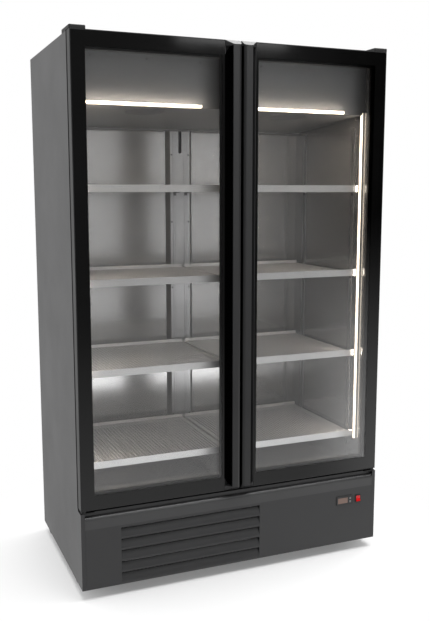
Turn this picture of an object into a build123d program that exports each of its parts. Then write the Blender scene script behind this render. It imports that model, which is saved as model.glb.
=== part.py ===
"""Upright two-door glass merchandiser: an insulated cabinet on a machine bay, with eight shelves.

Millimetres, +Z up, +Y to the back. The origin is on the floor, under the middle of the object.
"""
from build123d import *
from math import cos, radians, sin
import os

os.makedirs("parts", exist_ok=True)

# ---- Cabinet ----
WIDTH = 1220.0            # over the two side panels
DEPTH = 690.0             # front cover to back panel
BODY_HEIGHT = 1932.0      # underside of the base to the top panel
FLOOR_GAP = 40.0          # floor to the underside of the base
BASE_HEIGHT = 285.0       # machine bay, underside to deck
SKIN = 1.0                # painted outer sheet
LINER = 1.0               # inner sheet
SIDE_WALL = 38.0          # skin, foam and liner together
BACK_WALL = 45.0
ROOF_WALL = 52.0
FLOOR_WALL = 55.0
BREAKER_DEPTH = 12.0      # plastic frame that closes the front of the foam
MULLION_WIDTH = 60.0
MULLION_DEPTH = 28.0
PANEL_CORNER = 14.0       # rounding in the step of the side panel
PANEL_FLANGE = 14.0       # side panel folded round beside the front cover

# ---- Doors ----
DOOR_THICKNESS = 40.0
DOOR_GAP = 7.0            # closed by the gasket
GASKET_SLACK = 0.2
DOOR_SET_IN = 1.5         # door edge inside the cabinet's side
CENTRE_GAP = 7.6
DOOR_FOOT_GAP = 11.0      # deck to door
DOOR_RISE = 2.0           # door top above the top panel
RAIL = 41.0               # aluminium bars of the frame
FRAME_LIP = 3.0           # edge that wraps the outer pane
LIP_RADIUS = 2.5
GLASS = 4.0
PANE_CLEARANCE = 0.2
SPACER_WIDTH = 10.0
SPACER_DEPTH = 18.0
GASKET_INSET = 14.5
GASKET_WIDTH = 16.0
PIN_RADIUS = 5.0
PIN_CLEARANCE = 0.05
PIN_REACH = 20.0          # pin inside the door
PIN_IN = 12.0             # hinge axis inside the door's outer edge
PIN_BACK = 10.0           # hinge axis behind the door's face
HINGE_SHEET = 4.0
HINGE_WIDTH = 46.0
HINGE_EDGE = 9.0          # hinge axis to the plate's outer edge
HINGE_TAIL = 60.0         # plate over the cabinet roof
HINGE_LIFT = 1.0          # door top to the plate
HINGE_CAP = 12.0          # height of the plastic cap
COLLAR_WALL = 4.0

# ---- Handles ----
HANDLE_PROUD = 23.0
HANDLE_WIDTH = 56.2
HANDLE_CLEARANCE = 0.5    # pull to the bars beside it
GRIP_WIDTH = 33.2         # front plate of the pull
GRIP_PLATE = 6.0
GRIP_STEM = 21.0
POCKET_DEPTH = 8.0        # finger pocket behind the door's face
POCKET_WALL = 2.0
POCKET_SLOPE = 12.0       # width of the slope from the pocket's bed to the door's face
GRIP_RADIUS = 11.0
CAP_HEIGHT = 20.0         # solid ends of the pull

# ---- Base ----
COVER_SHEET = 1.2
COVER_FOOT = 17.0         # lower edge of the cover folded back to the tray
TRAY_SHEET = 1.5
TRAY_RIM = 20.0
DECK_NOSE = 14.0          # front face of the deck, and how far it is set back
TRIM_HEIGHT = 46.0
TRIM_RADIUS = 14.0
TRIM_WALL = 2.5
LOUVRE_PITCH = 42.6
LOUVRE_LEFT_INSET = 146.0     # cabinet's left side to the louvres
LOUVRE_RIGHT_INSET = 522.0
LOUVRE_DROP = 9.5         # trim to the first louvre
LOUVRE_DEPTH = 11.5
LOUVRE_HEIGHT = 36.0
LOUVRE_MOUTH = 7.0
CONTROLLER_SIZE = (76.0, 38.0)
CONTROLLER_BODY = (70.0, 32.0, 55.0)
CONTROLLER_INSET = 142.0  # cabinet side to the controller's middle
CONTROLLER_DROP = 47.0    # trim to its middle
BEZEL_PROUD = 2.5
KEY = 8.0
KEY_GAP = 0.3
KEY_DEPTH = 4.0
ROCKER_BEZEL = (25.5, 31.0)
ROCKER_BODY = (22.0, 28.0, 24.0)
ROCKER_INSET = 79.5
ROCKER_WIDTH = 18.6
ROCKER_HEIGHT = 23.0
ROCKER_TILT = 8.0
ROCKER_GAP = 0.5

# ---- Feet and rollers ----
FOOT_RADIUS = 20.0
FOOT_THICKNESS = 10.0
FOOT_STUD = 5.0
FOOT_INSET = 67.0         # from the cabinet's side
FOOT_BACK = 97.0          # behind the front cover
ROLLER_RADIUS = 35.0
ROLLER_WIDTH = 22.0
ROLLER_INSET = 25.0
FRONT_ROLLER_BACK = 153.0
REAR_ROLLER_IN = 50.0
FRONT_ROLLER_LIFT = 2.0   # front rollers clear the floor while the feet carry the load
AXLE_RADIUS = 5.0
BRACKET_SHEET = 2.0

# ---- Inside ----
SHELF_FOOT_GAP = 84.0     # cabin floor to the lowest shelf
SHELF_HEAD_GAP = 283.0    # highest shelf to the evaporator cover
SHELF_STEPS = (338.0, 327.0, 333.0)   # spaces between shelves; they share out the height in this proportion
SHELF_FRONT_GAP = 50.0    # cabinet's face to the shelves
SHELF_REAR_GAP = 28.0     # shelves to the centre pilaster
SHELF_SIDE_GAP = 16.0
SHELF_CENTRE_GAP = 6.0
SHELF_SHEET = 1.2
SHELF_SKIRT = 13.0
STANDARD_WIDTH = 20.0
STANDARD_SHEET = 2.0
SLOT_PITCH = 25.0
PILASTER_BASE = 60.0      # half widths of the centre pilaster
PILASTER_FACE = 44.0
PILASTER_DEPTH = 20.0
STANDARD_X = 23.0         # slot columns beside the centre
CLIP_WIDTH = 12.0
CLIP_THICKNESS = 3.0
COVER_SET_BACK = 35.0     # cabinet's face to the evaporator cover
COVER_DROP = 175.0        # ceiling to the cover's lower front edge
COVER_SLOPE = 33.0        # further fall towards the back
AIR_GAP = 26.0            # left open behind the cover for cold air
LED_HEIGHT = 12.0
LED_DEPTH = 5.0           # aluminium channel
LED_PROUD = 6.0           # diffuser ahead of its channel
LED_WALL_GAP = 16.0       # left side wall to the start of the left bar
LED_INNER_GAP = 118.0     # end of the left bar to the middle of the cabinet
LED_RIGHT_START = 33.0    # middle of the cabinet to the start of the right bar
LED_WALL = 1.2
LED_SIDE_SET_BACK = 43.0  # cabinet's face to the upright bars
LED_SIDE_FOOT = 60.0      # cabin floor to the upright bars
SCREW_RADIUS = 4.0
SCREW_ROWS = 5

# ---- Machines ----
EVAP_FAN_INSET = 282.0    # side wall to the fan's middle
EVAP_FAN_BACK = 123.0     # behind the evaporator cover
EVAP_FAN_RADIUS = 72.0
EVAP_FAN_LIFT = 58.0      # fan above the cover's lower front edge
EVAP_COIL_INSET = 132.0   # side wall to the coil
EVAP_COIL_GAP = 43.0      # fans to the coil
EVAP_COIL_REAR = 105.0    # coil to the cabin's back
COND_FAN_INSET = 425.0    # cabinet's left side to the fan's middle
COND_FAN_MARGIN = 8.75    # tip of the blades to the shroud's edge
MOUTH_CLEARANCE = 5.0
SHROUD_HALF = 175.0
SHROUD_DEPTH = 39.5
COIL_HALF = 245.0
COIL_DEPTH = 60.0
SHAFT_RADIUS = 4.0
FIN_PITCH = 15.0
FIN_SHEET = 1.0
END_PLATE = 3.0
END_PLATE_MARGIN = 6.0
TUBE_RADIUS = 4.0
MOTOR_RADIUS = 38.0
MOTOR_LENGTH = 50.0
SMALL_MOTOR_RADIUS = 28.0
SMALL_MOTOR_LENGTH = 45.0
STRAP_WIDTH = 24.0
STRAP_SHEET = 3.0
COMPRESSOR_INSET = 380.0  # cabinet's right side to the compressor's middle
COMPRESSOR_REAR = 220.0   # back panel to its middle
COMPRESSOR_RADIUS = 72.0
COMPRESSOR_HEIGHT = 150.0
COMPRESSOR_PLATE = (190.0, 140.0, 3.0)
RUBBER_MOUNT = (12.0, 12.0)    # radius and height
MOUNT_SPREAD = (160.0, 110.0)
DRIP_TRAY_X = (280.0, 50.0)    # from the cabinet's right side
DRIP_TRAY_Y = (390.0, 130.0)   # from the back panel
DRIP_TRAY_HEIGHT = 45.0
DRIP_TRAY_WALL = 2.0
PIPE_BEND = 18.0
VENT_SIZE = (120.0, 6.0)
VENT_COLUMNS = (310.0, 460.0, 610.0, 760.0)   # from the cabinet's left side
VENT_ROWS = 8
VENT_PITCH = 20.0
VENT_FOOT = 70.0
GLAND_INSET = 110.0
GLAND_LIFT = 60.0
GLAND_HOLE = 9.0
GLAND_BORE = 5.0
GLAND_LENGTH = 14.0

# ---- Derived places ----
SIDE = WIDTH / 2
FRONT = HANDLE_PROUD - (DEPTH + HANDLE_PROUD) / 2
BACK = FRONT + DEPTH
FACE = FRONT + DOOR_THICKNESS + DOOR_GAP          # front of the insulated cabinet
BASE = FLOOR_GAP
DECK = BASE + BASE_HEIGHT
TOP = BASE + BODY_HEIGHT
CABIN_SIDE = SIDE - SIDE_WALL
CABIN_BACK = BACK - BACK_WALL
CABIN_FLOOR = DECK + FLOOR_WALL
CABIN_TOP = TOP - ROOF_WALL
DOOR_BOTTOM = DECK + DOOR_FOOT_GAP
DOOR_TOP = TOP + DOOR_RISE
DOOR_EDGE = -(SIDE - DOOR_SET_IN)                 # left door; the right one is its mirror image
DOOR_MEET = -CENTRE_GAP / 2
PIN_X = DOOR_EDGE + PIN_IN
PIN_Y = FRONT + PIN_BACK
TRIM_TOP = DECK - DECK_NOSE
TRIM_BOTTOM = TRIM_TOP - TRIM_HEIGHT
COVER_HALF = SIDE - PANEL_FLANGE - 0.4
TRAY_TOP = BASE + TRAY_SHEET
COVER_LOW = CABIN_TOP - COVER_DROP
COVER_REAR = CABIN_BACK - AIR_GAP
MEETING_STILE = HANDLE_WIDTH + HANDLE_CLEARANCE
COVER_FRONT = FACE + COVER_SET_BACK
UPRIGHT = (CABIN_FLOOR + 20, COVER_LOW - COVER_SLOPE - 12)   # span of the shelf standards
PILASTER_TOP = COVER_LOW - COVER_SLOPE + 20
SHELF_Y = (FACE + SHELF_FRONT_GAP, CABIN_BACK - PILASTER_DEPTH - SHELF_REAR_GAP)
SHELF_LOW = CABIN_FLOOR + SHELF_FOOT_GAP
SHELF_SPAN = COVER_LOW - SHELF_HEAD_GAP - SHELF_LOW
SHELF_HEIGHTS = [SHELF_LOW + SHELF_SPAN * sum(SHELF_STEPS[:level]) / sum(SHELF_STEPS) for level in range(4)]
LOUVRES = int((TRIM_BOTTOM - BASE - LOUVRE_DROP) / LOUVRE_PITCH)
LOUVRE_X = (-SIDE + LOUVRE_LEFT_INSET, SIDE - LOUVRE_RIGHT_INSET)
EVAP_FAN_X = CABIN_SIDE - EVAP_FAN_INSET
EVAP_COIL_X = (-CABIN_SIDE + EVAP_COIL_INSET, CABIN_SIDE - EVAP_COIL_INSET)
SHROUD_TOP = TRIM_BOTTOM - 6
COND_FAN_RADIUS = (SHROUD_TOP - TRAY_TOP) / 2 - COND_FAN_MARGIN
LED_LENGTH = CABIN_SIDE - LED_WALL_GAP - LED_INNER_GAP


def slab(x, y, z):
    """Box between two corners, each axis given as (low, high)."""
    sizes = [high - low for low, high in (x, y, z)]
    middle = [(low + high) / 2 for low, high in (x, y, z)]
    return Pos(*middle) * Box(*sizes)


def rod(radius, start, end):
    """Round bar from one point to another."""
    along = Vector(*end) - Vector(*start)
    return Plane(origin=start, z_dir=along) * extrude(Circle(radius), along.length)


def ring(x, z, y, width):
    """Rectangular frame of even width, seen from the front."""
    hole = slab((x[0] + width, x[1] - width), (y[0] - 1, y[1] + 1), (z[0] + width, z[1] - width))
    return slab(x, y, z) - hole


def along_x(points, x):
    """Flat (y, z) outline drawn out between two x values."""
    outline = make_face(Polyline(*points, close=True))
    return Plane(origin=(x[0], 0, 0), x_dir=(0, 1, 0), z_dir=(1, 0, 0)) * extrude(outline, x[1] - x[0])


def mirrored(shape):
    return mirror(shape, Plane.YZ)


def both(shape):
    """A left-hand piece and its right-hand twin."""
    return [shape, mirrored(shape)]


def write(name, *shapes):
    solids = [solid for shape in shapes for solid in shape.solids()]
    export_step(Compound(solids), f"parts/{name}.step")


# ---- Outer sheets and insulation ----

def side_panel():
    """Left panel: full depth at the machine bay, set back behind the door above it."""
    outline = make_face(Polyline(
        (FRONT, BASE), (BACK, BASE), (BACK, TOP), (FACE, TOP), (FACE, DECK), (FRONT, DECK), close=True))
    step = outline.vertices().sort_by_distance((FACE, DECK, 0))[0]
    outline = fillet(step, PANEL_CORNER)
    plane = Plane(origin=(-SIDE, 0, 0), x_dir=(0, 1, 0), z_dir=(1, 0, 0))
    flange = slab((-SIDE, -SIDE + PANEL_FLANGE), (FRONT, FRONT + SKIN), (BASE, DECK))
    return plane * extrude(outline, SKIN) + flange


def back_panel():
    """Back sheet with rows of vents in front of the machine bay and a hole for the cable gland."""
    sheet = slab((-SIDE + SKIN, SIDE - SKIN), (BACK - SKIN, BACK), (BASE, TOP - SKIN))
    half_wide, half_high = VENT_SIZE[0] / 2, VENT_SIZE[1] / 2
    rows = [BASE + VENT_FOOT + VENT_PITCH * row for row in range(VENT_ROWS)]
    vents = [slab((x - SIDE - half_wide, x - SIDE + half_wide), (BACK - 2, BACK + 1), (z - half_high, z + half_high))
             for x in VENT_COLUMNS for z in rows]
    hole = rod(GLAND_HOLE, (GLAND_X, BACK - 2, GLAND_Z), (GLAND_X, BACK + 1, GLAND_Z))
    return sheet - vents - hole


def top_panel():
    return slab((-SIDE + SKIN, SIDE - SKIN), (FACE, BACK), (TOP - SKIN, TOP))


def foam_slabs():
    """Five blocks of foam round the cabin; they meet face to face."""
    behind = FACE + BREAKER_DEPTH
    inner = CABIN_SIDE + LINER
    left = slab((-SIDE + SKIN, -inner), (behind, BACK - SKIN), (DECK, TOP - SKIN))
    back = slab((-inner, inner), (CABIN_BACK + LINER, BACK - SKIN), (DECK, TOP - SKIN))
    roof = slab((-inner, inner), (behind, CABIN_BACK + LINER), (CABIN_TOP + LINER, TOP - SKIN))
    floor = slab((-inner, inner), (behind, CABIN_BACK + LINER), (DECK, CABIN_FLOOR - LINER))
    return [*both(left), back, roof, floor]


def inner_liner():
    behind = FACE + BREAKER_DEPTH
    outer = slab((-CABIN_SIDE - LINER, CABIN_SIDE + LINER), (behind, CABIN_BACK + LINER),
                 (CABIN_FLOOR - LINER, CABIN_TOP + LINER))
    room = slab((-CABIN_SIDE, CABIN_SIDE), (behind - 1, CABIN_BACK), (CABIN_FLOOR, CABIN_TOP))
    return outer - room


def breaker_frame():
    y = (FACE, FACE + BREAKER_DEPTH)
    stile = slab((-SIDE + SKIN, -CABIN_SIDE), y, (DECK, TOP - SKIN))
    head = slab((-CABIN_SIDE, CABIN_SIDE), y, (CABIN_TOP, TOP - SKIN))
    sill = slab((-CABIN_SIDE, CABIN_SIDE), y, (DECK, CABIN_FLOOR))
    return [*both(stile), head, sill]


def centre_mullion():
    half = MULLION_WIDTH / 2
    post = slab((-half, half), (FACE, FACE + MULLION_DEPTH), (CABIN_FLOOR, CABIN_TOP))
    return fillet(post.edges().filter_by(Axis.Z).sort_by(Axis.Y)[-2:], 4)


# ---- Base ----

def roller_places():
    """Name, x, y and axle height of the four rollers."""
    x = SIDE - ROLLER_INSET
    front = (FRONT + FRONT_ROLLER_BACK, ROLLER_RADIUS + FRONT_ROLLER_LIFT)
    rear = (BACK - REAR_ROLLER_IN, ROLLER_RADIUS)
    return [(f"{end}_{side}_roller", sign * x, y, z)
            for end, (y, z) in (("front", front), ("rear", rear)) for side, sign in (("left", -1), ("right", 1))]


def foot_places():
    x = SIDE - FOOT_INSET
    return [(place, FRONT + FOOT_BACK) for place in (-x, 0, x)]


def base_frame():
    """Tray under the machines and the folded deck that carries the cabin."""
    x = (-SIDE + SKIN, SIDE - SKIN)
    y = (FRONT + COVER_FOOT, BACK - SKIN)
    tray = slab(x, y, (BASE, BASE + TRAY_RIM))
    tray -= slab((x[0] + TRAY_SHEET, x[1] - TRAY_SHEET), (y[0] + TRAY_SHEET, y[1] - TRAY_SHEET),
                 (TRAY_TOP, BASE + TRAY_RIM + 1))
    well = ROLLER_WIDTH / 2 + BRACKET_SHEET + 2
    for _, wheel_x, wheel_y, _ in roller_places():
        tray -= slab((wheel_x - well, wheel_x + well), (wheel_y - ROLLER_RADIUS - 2, wheel_y + ROLLER_RADIUS + 2),
                     (BASE - 1, TRAY_TOP + 1))
    for foot_x, foot_y in foot_places():
        tray -= rod(FOOT_STUD + 0.3, (foot_x, foot_y, BASE - 1), (foot_x, foot_y, TRAY_TOP + 1))
    deck = slab(x, (FRONT + DECK_NOSE, BACK - SKIN), (DECK - TRAY_SHEET, DECK))
    nose = slab(x, (FRONT + DECK_NOSE, FRONT + DECK_NOSE + TRAY_SHEET), (TRIM_TOP, DECK - TRAY_SHEET))
    return [tray, deck + nose]


def louvre(top):
    """Outline of one pressed-in louvre, and the hollow in front of its blade.

    The blade starts behind the cover, below the louvre's mouth, and comes flush at its foot.
    """
    foot, mouth, deep = top - LOUVRE_HEIGHT, top - LOUVRE_MOUTH, FRONT + LOUVRE_DEPTH
    bend_y, bend_z = FRONT + LOUVRE_DEPTH * 0.4, mouth - (mouth - foot) * 0.4
    rear = ThreePointArc((FRONT + COVER_SHEET, foot), (bend_y + COVER_SHEET, bend_z), (deep + COVER_SHEET, mouth))
    face = ThreePointArc((deep, mouth), (bend_y, bend_z), (FRONT, foot))
    over = Polyline(rear @ 1, (deep + COVER_SHEET, top), (FRONT, top), (FRONT, foot), rear @ 0)
    past = deep + COVER_SHEET + 1
    ahead = Polyline(face @ 1, (FRONT - 1, foot), (FRONT - 1, top), (past, top), (past, mouth), face @ 0)
    return make_face([rear, over]), make_face([face, ahead])


def front_cover():
    """Steel cover of the machine bay, with five louvres and cut-outs for the controls."""
    x = (-COVER_HALF, COVER_HALF)
    sheet = slab(x, (FRONT, FRONT + COVER_SHEET), (BASE, TRIM_BOTTOM))
    sheet += slab(x, (FRONT, FRONT + COVER_FOOT), (BASE, BASE + COVER_SHEET))
    for row in range(LOUVRES):
        hood, hollow = louvre(TRIM_BOTTOM - LOUVRE_DROP - row * LOUVRE_PITCH)
        left = Plane(origin=(LOUVRE_X[0] - COVER_SHEET, 0, 0), x_dir=(0, 1, 0), z_dir=(1, 0, 0))
        sheet += left * extrude(hood, LOUVRE_X[1] - LOUVRE_X[0] + 2 * COVER_SHEET)
        sheet -= left.offset(COVER_SHEET) * extrude(hollow, LOUVRE_X[1] - LOUVRE_X[0])
    for x, (wide, high, _) in ((CONTROLLER_X, CONTROLLER_BODY), (ROCKER_X, ROCKER_BODY)):
        sheet -= slab((x - wide / 2 - 0.3, x + wide / 2 + 0.3), (FRONT - 1, FRONT + 3),
                      (CONTROL_Z - high / 2 - 0.3, CONTROL_Z + high / 2 + 0.3))
    return sheet


def cover_trim():
    """Hollow strip over the cover, with a large rounding along its upper edge."""
    depth = DECK_NOSE + 10
    outer = make_face(Polyline((FRONT, TRIM_BOTTOM), (FRONT + depth, TRIM_BOTTOM), (FRONT + depth, TRIM_TOP),
                               (FRONT, TRIM_TOP), close=True))
    outer = fillet(outer.vertices().sort_by_distance((FRONT, TRIM_TOP, 0))[0], TRIM_RADIUS)
    inner = make_face(Polyline(
        (FRONT + TRIM_WALL, TRIM_BOTTOM - 1), (FRONT + depth + 1, TRIM_BOTTOM - 1),
        (FRONT + depth + 1, TRIM_TOP - TRIM_WALL), (FRONT + TRIM_WALL, TRIM_TOP - TRIM_WALL), close=True))
    near = inner.vertices().sort_by_distance((FRONT + TRIM_WALL, TRIM_TOP - TRIM_WALL, 0))[0]
    inner = fillet(near, TRIM_RADIUS - TRIM_WALL)
    plane = Plane(origin=(-COVER_HALF, 0, 0), x_dir=(0, 1, 0), z_dir=(1, 0, 0))
    return plane * extrude(outer - inner, 2 * COVER_HALF)


def controller():
    """Panel thermostat: bezel, window, two key pockets and the body behind the cover."""
    wide, high = CONTROLLER_SIZE
    x, z = CONTROLLER_X, CONTROL_Z
    bezel = slab((x - wide / 2, x + wide / 2), (FRONT - BEZEL_PROUD, FRONT), (z - high / 2, z + high / 2))
    bezel = fillet(bezel.edges().filter_by(Axis.Y), 3)
    body_wide, body_high, body_deep = CONTROLLER_BODY
    body = slab((x - body_wide / 2, x + body_wide / 2), (FRONT, FRONT + body_deep),
                (z - body_high / 2, z + body_high / 2))
    window = slab(LENS_X, (FRONT - BEZEL_PROUD - 1, FRONT - BEZEL_PROUD + 1.5), LENS_Z)
    housing = bezel + body - window
    half = KEY / 2 + KEY_GAP
    for _, key_z in KEYS:
        housing -= slab((KEY_X - half, KEY_X + half), (FRONT - BEZEL_PROUD - 1, FRONT + KEY_DEPTH),
                        (key_z - half, key_z + half))
    lens = slab(LENS_X, (FRONT - BEZEL_PROUD + 0.3, FRONT - BEZEL_PROUD + 1.5), LENS_Z)
    return [housing, lens]


def key(z):
    half = KEY / 2
    front = FRONT - BEZEL_PROUD - 0.8
    cap = slab((KEY_X - half, KEY_X + half), (front, front + 4.5), (z - half, z + half))
    return fillet(cap.faces().sort_by(Axis.Y)[0].edges(), 0.6)


def rocker_bezel():
    wide, high = ROCKER_BEZEL
    x, z = ROCKER_X, CONTROL_Z
    flange = slab((x - wide / 2, x + wide / 2), (FRONT - BEZEL_PROUD, FRONT), (z - high / 2, z + high / 2))
    flange = fillet(flange.edges().filter_by(Axis.Y), 2)
    body_wide, body_high, body_deep = ROCKER_BODY
    body = slab((x - body_wide / 2, x + body_wide / 2), (FRONT, FRONT + body_deep),
                (z - body_high / 2, z + body_high / 2))
    half_wide = ROCKER_WIDTH / 2 + ROCKER_GAP
    half_high = ROCKER_HEIGHT / 2 + ROCKER_GAP + 0.8
    mouth = slab((x - half_wide, x + half_wide), (FRONT - BEZEL_PROUD - 1, FRONT + 12),
                 (z - half_high, z + half_high))
    return flange + body - mouth


def rocker():
    """Paddle with a shallow dip, resting with its upper end pressed in."""
    half = ROCKER_HEIGHT / 2
    outline = [(ROCKER_PIVOT_Y + 4, -half + 2), (ROCKER_PIVOT_Y + 4, half - 2), (ROCKER_PIVOT_Y - 1, half),
               (ROCKER_PIVOT_Y - 6, half), (ROCKER_PIVOT_Y - 4.5, 0), (ROCKER_PIVOT_Y - 6, -half),
               (ROCKER_PIVOT_Y - 1, -half)]
    x = (ROCKER_X - ROCKER_WIDTH / 2, ROCKER_X + ROCKER_WIDTH / 2)
    paddle = along_x([(y, CONTROL_Z + z) for y, z in outline], x)
    paddle = fillet(paddle.faces().sort_by(Axis.X)[0].edges() + paddle.faces().sort_by(Axis.X)[-1].edges(), 0.6)
    axis = Axis((0, ROCKER_PIVOT_Y, CONTROL_Z), (1, 0, 0))
    return paddle.rotate(axis, -ROCKER_TILT)


# ---- Feet and rollers ----

def levelling_foot(x, y):
    pad = Pos(x, y, FOOT_THICKNESS / 2) * Cylinder(FOOT_RADIUS, FOOT_THICKNESS)
    pad = chamfer(pad.edges().group_by(Axis.Z)[-1], 2)
    stud = rod(FOOT_STUD, (x, y, FOOT_THICKNESS), (x, y, TRAY_TOP + 12))
    nut = Pos(x, y, BASE - 8) * extrude(RegularPolygon(8.5, 6, major_radius=False), 8)
    return pad + stud + nut


def roller_bracket(x, y, z):
    """Hat of sheet steel over the wheel, bolted to the tray, with the fixed axle through it."""
    inner = ROLLER_WIDTH / 2 + 1
    outer = inner + BRACKET_SHEET
    long = ROLLER_RADIUS + 3
    crown = z + ROLLER_RADIUS + 3
    hat = slab((x - outer, x + outer), (y - long, y + long), (crown, crown + BRACKET_SHEET))
    for sign in (-1, 1):
        hat += slab(sorted((x + sign * inner, x + sign * outer)), (y - 15, y + 15), (z - 12, crown))
        hat += slab((x - outer, x + outer), sorted((y + sign * long, y + sign * (long - BRACKET_SHEET))),
                    (TRAY_TOP, crown))
        hat += slab((x - outer, x + outer), sorted((y + sign * long, y + sign * (long + 9))),
                    (TRAY_TOP, TRAY_TOP + BRACKET_SHEET))
    return hat + rod(AXLE_RADIUS, (x - outer - 1, y, z), (x + outer + 1, y, z))


def roller(x, y, z):
    half = ROLLER_WIDTH / 2
    wheel = rod(ROLLER_RADIUS, (x - half, y, z), (x + half, y, z))
    wheel = fillet(wheel.edges().filter_by(GeomType.CIRCLE), 3)
    for sign in (-1, 1):
        face = x + sign * half
        dish = rod(ROLLER_RADIUS - 8, (face, y, z), (face - sign * 4, y, z))
        boss = rod(AXLE_RADIUS + 5, (face, y, z), (face - sign * 4, y, z))
        wheel -= dish - boss
    return wheel - rod(AXLE_RADIUS + PIN_CLEARANCE, (x - half - 1, y, z), (x + half + 1, y, z))


# ---- Machines ----

def compressor():
    """Hermetic shell on a foot plate with four rubber mounts and three pipe stubs."""
    x, y = COMPRESSOR_PLACE
    mount_radius, mount_height = RUBBER_MOUNT
    wide, long, thick = COMPRESSOR_PLATE
    foot = TRAY_TOP + mount_height
    shell = Pos(x, y, foot + thick + COMPRESSOR_HEIGHT / 2) * Cylinder(COMPRESSOR_RADIUS, COMPRESSOR_HEIGHT)
    shell = fillet(shell.edges(), COMPRESSOR_RADIUS / 2.4)
    plate = slab((x - wide / 2, x + wide / 2), (y - long / 2, y + long / 2), (foot, foot + thick))
    mounts = [Pos(x + across * MOUNT_SPREAD[0] / 2, y + along * MOUNT_SPREAD[1] / 2, TRAY_TOP + mount_height / 2)
              * Cylinder(mount_radius, mount_height) for across in (-1, 1) for along in (-1, 1)]
    terminals = slab((x + COMPRESSOR_RADIUS - 12, x + COMPRESSOR_RADIUS + 20), (y - 25, y + 25),
                     (foot + 50, foot + 110))
    return [shell + plate + terminals] + mounts


def finned_block(x, y, z, rows):
    """Thin fins on straight tubes between two thicker end plates."""
    count = int((x[1] - x[0]) / FIN_PITCH)
    starts = [x[0] + step * FIN_PITCH for step in range(1, count)]
    fins = [slab((start, start + FIN_SHEET), y, z) for start in starts]
    half, over = END_PLATE / 2, END_PLATE_MARGIN
    plates = [slab((end - half, end + half), (y[0] - over, y[1] + over), (z[0] - over, z[1] + over)) for end in x]
    levels = [z[0] + (row + 0.5) * (z[1] - z[0]) / rows for row in range(rows)]
    tubes = [rod(TUBE_RADIUS, (x[0] - TUBE_END, place, level), (x[1] + TUBE_END, place, level))
             for level in levels for place in ((y[0] * 3 + y[1]) / 4, (y[0] + y[1] * 3) / 4)]
    return Part() + [*fins, *plates, *tubes]


def condenser_coil():
    """Coil behind the louvres, standing on its end plates."""
    coil = finned_block(COIL_X, COIL_Y, (TRAY_TOP + 20, TRIM_BOTTOM - 12), 6)
    half = END_PLATE / 2
    feet = [slab((end - half, end + half), COIL_Y, (TRAY_TOP, TRAY_TOP + 15)) for end in COIL_X]
    return coil + feet


def fan_shroud():
    """Duct behind the coil with the round mouth of the condenser fan."""
    x, y, z = SHROUD_X, SHROUD_Y, (TRAY_TOP, SHROUD_TOP)
    wall = TRAY_SHEET
    duct = slab(x, y, z) - slab((x[0] + wall, x[1] - wall), (y[0] - 1, y[1] - wall), (z[0] + wall, z[1] - wall))
    return duct - rod(COND_FAN_RADIUS + MOUTH_CLEARANCE, (FAN_X, y[1] - 3, FAN_Z), (FAN_X, y[1] + 1, FAN_Z))


def bladed_fan(radius, hub, thickness, blades=5):
    """Axial fan about +Z with its middle at the origin and a bore for the shaft."""
    wheel = Cylinder(hub, thickness)
    for step in range(blades):
        blade = Pos(0, (hub + radius) / 2 - 1, 0) * Rot(0, 28, 0) * Box(radius * 0.5, radius - hub + 2, 2)
        wheel += Rot(0, 0, step * 360 / blades) * blade
    wheel &= Cylinder(radius, thickness * 4)
    return wheel - Cylinder(SHAFT_RADIUS + PIN_CLEARANCE, thickness * 2)


def condenser_fan():
    return Pos(FAN_X, FAN_Y, FAN_Z) * Rot(90, 0, 0) * bladed_fan(COND_FAN_RADIUS, 24, 20)


def evaporator_fan(x):
    return Pos(x, EVAP_Y, EVAP_Z) * bladed_fan(EVAP_FAN_RADIUS, 20, 14)


def fan_motors():
    """Condenser motor on a strap across the shroud, and two evaporator motors hung over their fans."""
    y = FAN_Y + 13
    motor = rod(MOTOR_RADIUS, (FAN_X, y, FAN_Z), (FAN_X, y + MOTOR_LENGTH, FAN_Z))
    motor += rod(SHAFT_RADIUS, (FAN_X, FAN_Y - 14, FAN_Z), (FAN_X, y, FAN_Z))
    strap_x, strap_y = (FAN_X - STRAP_WIDTH / 2, FAN_X + STRAP_WIDTH / 2), (y + 20, y + 20 + STRAP_SHEET)
    high = COND_FAN_RADIUS + MOUTH_CLEARANCE - 1
    motor += slab(strap_x, strap_y, (FAN_Z - high, FAN_Z + high))
    for sign in (-1, 1):
        motor += slab(strap_x, (SHROUD_Y[1], strap_y[1]),
                      sorted((FAN_Z + sign * high, FAN_Z + sign * (high + STRAP_SHEET))))
    hung = []
    base = EVAP_Z + 10
    crown = base + SMALL_MOTOR_LENGTH
    for x in (-EVAP_FAN_X, EVAP_FAN_X):
        small = rod(SMALL_MOTOR_RADIUS, (x, EVAP_Y, base), (x, EVAP_Y, crown))
        small += rod(SHAFT_RADIUS, (x, EVAP_Y, EVAP_Z - 9), (x, EVAP_Y, base))
        small += slab((x - 8, x + 8), (EVAP_Y - 8, EVAP_Y + 8), (crown, CABIN_TOP))
        hung.append(small)
    return [motor] + hung


def evaporation_tray():
    x = [SIDE - inset for inset in DRIP_TRAY_X]
    y = [BACK - inset for inset in DRIP_TRAY_Y]
    z, wall = (TRAY_TOP, TRAY_TOP + DRIP_TRAY_HEIGHT), DRIP_TRAY_WALL
    tray = slab(x, y, z)
    tray -= slab((x[0] + wall, x[1] - wall), (y[0] + wall, y[1] - wall), (z[0] + wall, z[1] + 1))
    return fillet(tray.edges().filter_by(Axis.Z), wall * 0.45)


def pipe(*points):
    """Copper tube along straight runs and round bends."""
    path = FilletPolyline(*points, radius=PIPE_BEND)
    start = Plane(origin=path @ 0, z_dir=path % 0)
    return sweep(start * Circle(TUBE_RADIUS), path=path)


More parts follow.
